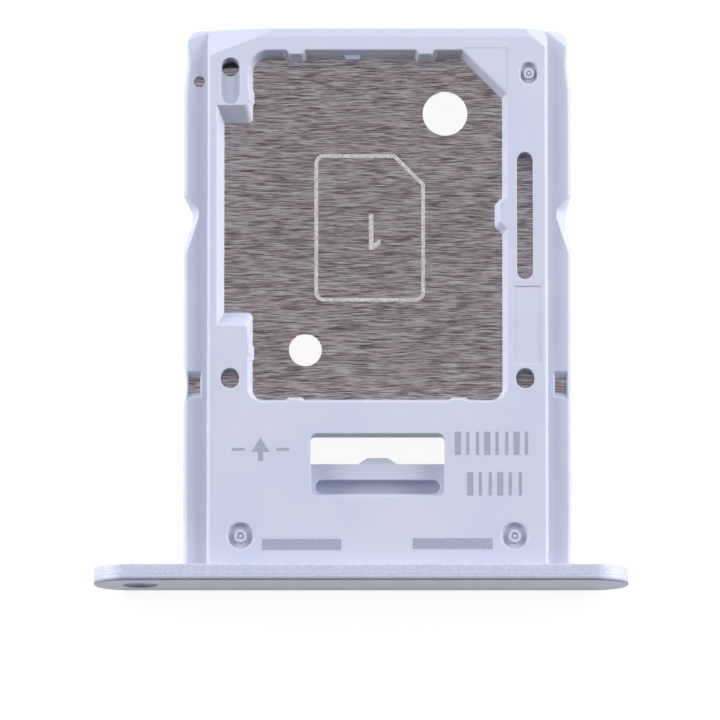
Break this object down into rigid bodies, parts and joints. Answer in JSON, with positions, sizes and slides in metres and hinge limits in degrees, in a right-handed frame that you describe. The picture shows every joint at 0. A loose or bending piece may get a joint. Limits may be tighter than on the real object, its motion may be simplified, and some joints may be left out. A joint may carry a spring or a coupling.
{
  "type": "sim card tray",
  "caption": "Flat slide-in card tray for a phone: rounded face plate with an eject-pin hole, plastic frame round card pockets on both sides, and a brushed steel plate as their floor.",
  "frame": {"origin": "bottom centre of the whole tray, level with the lower rim of the head", "axes": "+Y is the way the tray goes into the phone, from the head to the insertion end; +Z is the side of the small card's pocket; +X is to the right with the head towards the viewer, and the eject hole is at the -X end of the head"},
  "size_m": [0.0192, 0.0202, 0.0026],
  "materials": {
    "moulding": "satin injection moulding in pale lavender blue, with a fine metallic lacquer on the head",
    "plate": "stainless steel, brushed across the tray, with a laser-marked card outline"
  },
  "bodies": {
    "root": {"tray_frame": "moulding", "steel_plate": "plate"}
  },
  "joints": []
}
